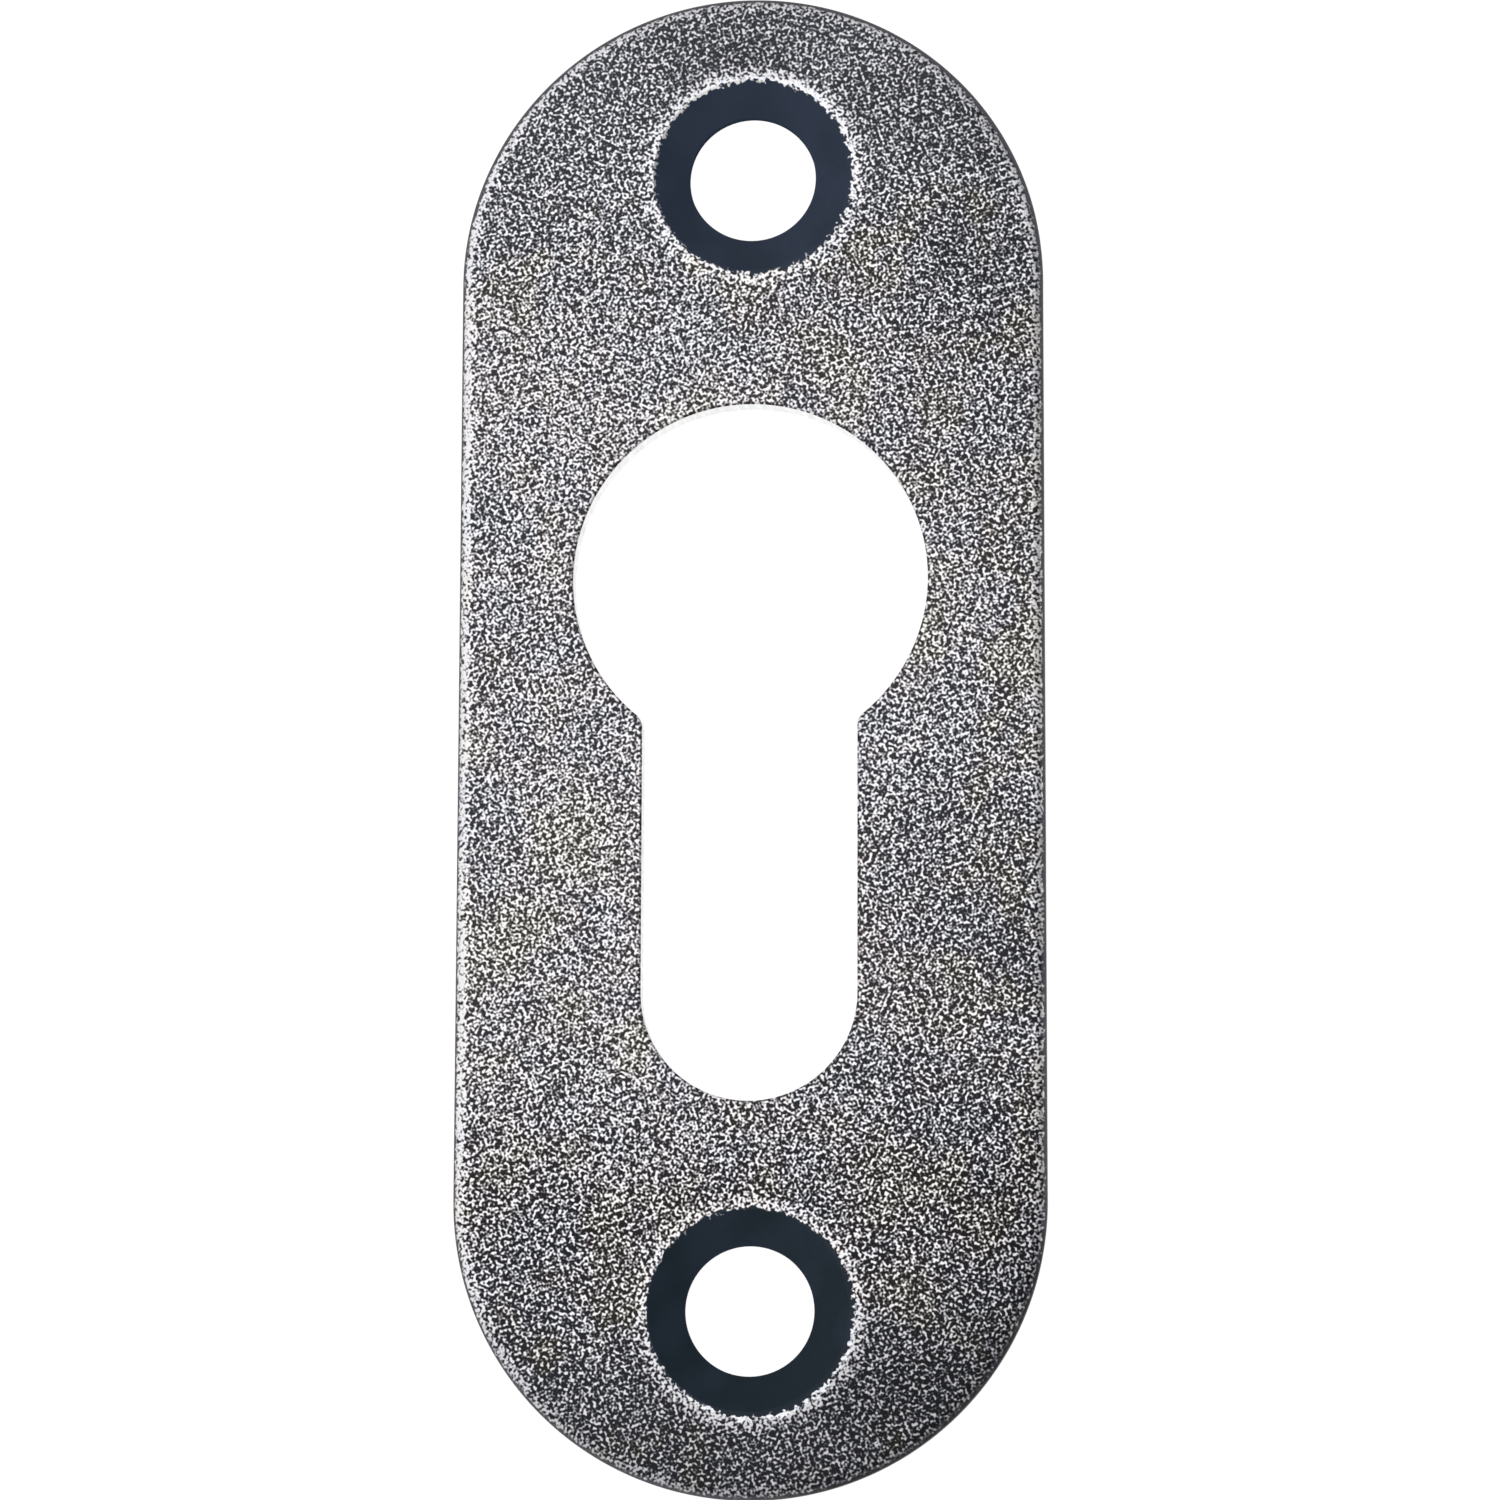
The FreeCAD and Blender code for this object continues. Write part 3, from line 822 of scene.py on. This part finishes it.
def blasted_face():
    """Bright crests over dark pits, darker away from a bright spot on the left as painted light
    falloff. At the rim the grain loses its contrast and wears bright, with a painted highlight where
    the rim faces left and a painted shade line at the very edge, near black at the lower right. A
    bright broken painted highlight runs round each countersink, and bits of the cones' dark navy
    reach out over its rim."""
    material, tree, shader = new_finish("blasted_face", FACE_METALLIC)
    place = object_place(tree)
    along = coordinates(tree, place)["Y"]
    distance = use(tree, DISTANCES)
    from_outline, from_cone = distance["From outline"], distance["From countersink"]
    falloff_and_tint = use(tree, PAINTED_FALLOFF_AND_TINT)
    lower_right = reckon(tree, "MULTIPLY",
                         spread(tree, distance["Left rim"], *LOWER_RIGHT_FACING),
                         over(tree, along, LOWER_RIGHT_HEIGHTS))
    worn_and_lit = worn_and_lit_lift(tree, distance, along, lower_right)
    # the lift's painted light falloff, the wear and the painted rim highlights set the grain's
    # middle height
    middle = reckon(tree, "ADD", falloff_and_tint["Lift"], worn_and_lit)
    grain = use(tree, BLASTED_GRAIN, {"Middle": middle})["Grain"]
    shade = grain_shade(tree, grain, falloff_and_tint["Lift"], along)
    blasted = blend(tree, shade, BLACK, CREST)
    grain_share = spread(tree, from_outline, *STEEP_EDGE, *GRAIN_SHARES)
    rim = blend(tree, grain_share, RIM_STEEL, blasted)
    # painted shade: a dark ragged line at the very edge, near black at the lower right
    inside = past_ragged(tree, from_outline, over(tree, along, UPPER_RIM, *EDGE_SHADE_WIDTHS), EDGE_SHADE_RAG)
    edge_shaded = blend(tree, inside, blend(tree, lower_right, EDGE_SHADE, EDGE_DEEP_SHADE), rim)
    # painted highlight: a bright broken ring round each countersink, widest on one side
    past_highlight = past_ragged(tree, from_cone, highlight_width(tree, distance, place, along), HIGHLIGHT_RAG)
    highlighted = blend(tree, past_highlight, RIM_HIGHLIGHT, edge_shaded)
    tint_share = spread(tree, grain, 0, 1, *TINT_SHARES)
    tinted = blend(tree, tint_share, highlighted, falloff_and_tint["Tint"], "MULTIPLY")
    outside_navy = past_ragged(tree, from_cone, 0.0, CONE_RAG)
    metal = reckon(tree, "MULTIPLY", outside_navy, inside)
    rough = spread(tree, grain, 0, 1, *LINE_ROUGHNESS)
    fill(tree, shader, {
        "Base Color": blend(tree, outside_navy, use(tree, DARK_NAVY)["Color"], tinted),
        "Metallic": reckon(tree, "MULTIPLY", metal, FACE_METALLIC),
        "Roughness": reckon(tree, "MULTIPLY_ADD", inside, FACE_SMOOTHER, rough),
        "Specular IOR Level": FAINT_SHEEN,
    })
    return material


# the highlight sides between which the painted highlight turns from dull to bright, and the dark
# navy's mottle
HIGHLIGHT_SIDES = (-0.6, 0.6)
MOTTLE_SIZE = 0.3
MOTTLE_ROUGHNESS = (0.5, 0.6)


def countersink_cone():
    """Smooth dark navy in the cones. Bits of the bright painted highlight reach in over their rims.
    """
    material, tree, shader = new_finish("countersink_cone", 0.0)
    distance = use(tree, DISTANCES)
    # painted highlight reaching in over the cone's rim, bright on one side and dull on the other
    highlight = blend(tree, spread(tree, distance["Highlight side"], *HIGHLIGHT_SIDES), RIM_STEEL, RIM_HIGHLIGHT)
    past_navy = past_ragged(tree, distance["From countersink"], 0.0, CONE_RAG)
    mottle = noise(tree, object_place(tree), MOTTLE_SIZE)
    fill(tree, shader, {
        "Base Color": blend(tree, past_navy, use(tree, DARK_NAVY)["Color"], highlight),
        "Roughness": spread(tree, mottle, *NOISE_STRETCH, *MOTTLE_ROUGHNESS),
        "Specular IOR Level": FAINT_SHEEN,
    })
    return material


MATT = 0.8
NO_SHEEN = 0.0


def hole_wall():
    """The screw holes' walls, dark navy as the cones are, and matt."""
    material, tree, shader = new_finish("hole_wall", 0.0)
    navy_matt = {"Base Color": HOLE_NAVY, "Roughness": MATT, "Specular IOR Level": NO_SHEEN}
    fill(tree, shader, navy_matt)
    return material


def cut_marks(tree, size, height_share):
    """Upright marks of a cut, from 0 to 1: noise with its height pressed to a share, which draws
    its cells out along z."""
    inputs = {"Vector": object_place(tree), "Scale": (1, 1, height_share)}
    pressed = put(tree, "ShaderNodeMapping", inputs).outputs[0]
    return spread(tree, noise(tree, pressed, size, detail=2.0), *NOISE_STRETCH)


# the size and the pressed height of the marks, and the roughness between them and on them
KEYHOLE_MARKS = (0.25, 0.1)
KEYHOLE_ROUGHNESS = (0.35, 0.2)
SIDE_MARKS = (0.15, 0.2)
SIDE_ROUGHNESS = (0.65, 0.5)
SIDE_METALLIC = 0.3
FAINTEST_SHEEN = 0.1


def cut_wall():
    """Bright cut metal in the keyhole, with faint marks along the cut."""
    material, tree, shader = new_finish("cut_wall", 1.0)
    marks = cut_marks(tree, *KEYHOLE_MARKS)
    fill(tree, shader, {
        "Base Color": blend(tree, marks, CUT_MARK, CUT_STEEL),
        "Roughness": spread(tree, marks, 0, 1, *KEYHOLE_ROUGHNESS),
    })
    return material


def side_wall():
    """The plate's outer side: steel darkened as painted shade, with fine upright marks of the cut.
    """
    material, tree, shader = new_finish("side_wall", SIDE_METALLIC)
    marks = cut_marks(tree, *SIDE_MARKS)
    fill(tree, shader, {
        "Base Color": blend(tree, marks, SIDE_SHADE, SIDE_SHADED_STEEL),
        "Roughness": spread(tree, marks, 0, 1, *SIDE_ROUGHNESS),
        "Specular IOR Level": FAINTEST_SHEEN,
    })
    return material


BACK_METALLIC = 0.7
BACK_SOFTNESS = 0.25
BACK_ROUGHNESS = (0.6, 0.45)


def back_face():
    """The flat back, which lies against the door: the same grain, fainter and duller."""
    material, tree, shader = new_finish("back_face", BACK_METALLIC)
    grain = use(tree, BLASTED_GRAIN, {"Softness": BACK_SOFTNESS})["Grain"]
    fill(tree, shader, {
        "Base Color": blend(tree, grain, BACK_DARK, BACK_STEEL),
        "Roughness": spread(tree, grain, 0, 1, *BACK_ROUGHNESS),
    })
    return material


# Stage, lights and camera, in metres.
FLOOR_SIZE = 12.0
FLOOR_GAP = 0.00002
FLOOR_WHITE = (0.9, 0.9, 0.9, 1)
FLOOR_GLOW = 1.12
FLOOR_GLOW_SHARE = 0.85


def make_floor():
    """A white floor that keeps pale shadows: for what the camera, a reflection or glass sees, most
    of it is plain white and the rest is lit. It is clear from below."""
    mesh = bpy.data.meshes.new("floor")
    reach = FLOOR_SIZE / 2
    corners = [(-reach, -reach), (reach, -reach), (reach, reach), (-reach, reach)]
    mesh.from_pydata([(x, y, -FLOOR_GAP) for x, y in corners], [], [(0, 1, 2, 3)])
    material = bpy.data.materials.new("white_floor")
    material.use_nodes = True
    tree = material.node_tree
    tree.nodes.clear()
    seen = put(tree, "ShaderNodeLightPath").outputs
    looked_at = reckon(tree, "MAXIMUM", seen["Is Camera Ray"], seen["Is Glossy Ray"])
    looked_at = reckon(tree, "MAXIMUM", looked_at, seen["Is Transmission Ray"])
    share = reckon(tree, "MULTIPLY", looked_at, FLOOR_GLOW_SHARE)
    lit = put(tree, "ShaderNodeBsdfDiffuse", {"Color": FLOOR_WHITE}).outputs[0]
    white = put(tree, "ShaderNodeEmission", {"Strength": FLOOR_GLOW}).outputs[0]
    top = put(tree, "ShaderNodeMixShader", {0: share, 1: lit, 2: white}).outputs[0]
    below = put(tree, "ShaderNodeNewGeometry").outputs["Backfacing"]
    clear = put(tree, "ShaderNodeBsdfTransparent").outputs[0]
    both = put(tree, "ShaderNodeMixShader", {0: below, 1: top, 2: clear}).outputs[0]
    put(tree, "ShaderNodeOutputMaterial", {"Surface": both})
    mesh.materials.append(material)
    floor = bpy.data.objects.new("floor", mesh)
    bpy.context.scene.collection.objects.link(floor)


SKY = 0.80
HORIZON = 0.45
HORIZON_TOP = 0.4
LEFT_SHARE = 0.38


def make_world():
    """A soft white room: even overhead, dim near the floor, and brighter on the left than on the
    right. The brightness rises from HORIZON to SKY with up, and (1 - up * up) * LEFT_SHARE * x is
    taken off it."""
    world = bpy.data.worlds.new("soft_room")
    world.use_nodes = True
    tree = world.node_tree
    parts = coordinates(tree, put(tree, "ShaderNodeTexCoord").outputs["Generated"])
    low = reckon(tree, "SUBTRACT", 1.0, reckon(tree, "MULTIPLY", parts["Z"], parts["Z"]))
    room = spread(tree, parts["Z"], 0, HORIZON_TOP, HORIZON, SKY, kind="SMOOTHSTEP")
    left = reckon(tree, "MULTIPLY", low, reckon(tree, "MULTIPLY", parts["X"], -LEFT_SHARE))
    background = {"Color": WHITE, "Strength": reckon(tree, "ADD", room, left)}
    fill(tree, tree.nodes["Background"].inputs, background)
    bpy.context.scene.world = world


SOFTBOX_PLACE = (-0.035, 0.04, 0.27)
SOFTBOX_SIZE = 0.3
SOFTBOX_POWER = 0.117


def make_softbox():
    """A square soft lamp above the plate, that looks at its centre."""
    lamp = bpy.data.lights.new("key_light", "AREA")
    lamp.size = SOFTBOX_SIZE
    lamp.energy = SOFTBOX_POWER
    softbox = bpy.data.objects.new("key_light", lamp)
    softbox.location = SOFTBOX_PLACE
    softbox.rotation_euler = (-Vector(SOFTBOX_PLACE)).to_track_quat("-Z", "Y").to_euler()
    bpy.context.scene.collection.objects.link(softbox)


# the camera: the point it looks at on the front face and its distance from there, in millimetres,
# how many degrees it leans to the lower end and to the right, its roll, its lens and sensor, and
# the distances in metres between which it sees
CAMERA_AIM = (0.03, -0.806, 1.5)
CAMERA_DISTANCE = 268.2
CAMERA_DOWN = 8.576
CAMERA_RIGHT = 4.53
CAMERA_ROLL = 0.169
LENS = 133.79
SENSOR_WIDTH = 36
NEAREST, FARTHEST = 0.01, 10


def make_camera():
    """The photo's camera: it looks back along a line given by its sines across and down, turned by
    its roll."""
    camera = bpy.data.objects.new("camera", bpy.data.cameras.new("camera"))
    across, down = (math.sin(math.radians(lean)) for lean in (CAMERA_RIGHT, CAMERA_DOWN))
    back = Vector((across, -down, math.sqrt(1 - across ** 2 - down ** 2)))
    right = Vector((0, 1, 0)).cross(back).normalized()
    upright = Matrix((right, back.cross(right), back)).transposed()
    roll = Matrix.Rotation(math.radians(CAMERA_ROLL), 3, "Z")
    camera.location = (Vector(CAMERA_AIM) + back * CAMERA_DISTANCE) * MM
    camera.rotation_euler = (upright @ roll).to_euler()
    camera.data.lens = LENS
    camera.data.sensor_width = SENSOR_WIDTH
    camera.data.clip_start = NEAREST
    camera.data.clip_end = FARTHEST
    bpy.context.scene.collection.objects.link(camera)
    bpy.context.scene.camera = camera


make_plate({
    "face": blasted_face(),
    "countersink": countersink_cone(),
    "hole_wall": hole_wall(),
    "cut_wall": cut_wall(),
    "side": side_wall(),
    "back": back_face(),
})
make_floor()
make_world()
make_softbox()
make_camera()
bpy.context.scene.view_settings.view_transform = "Standard"
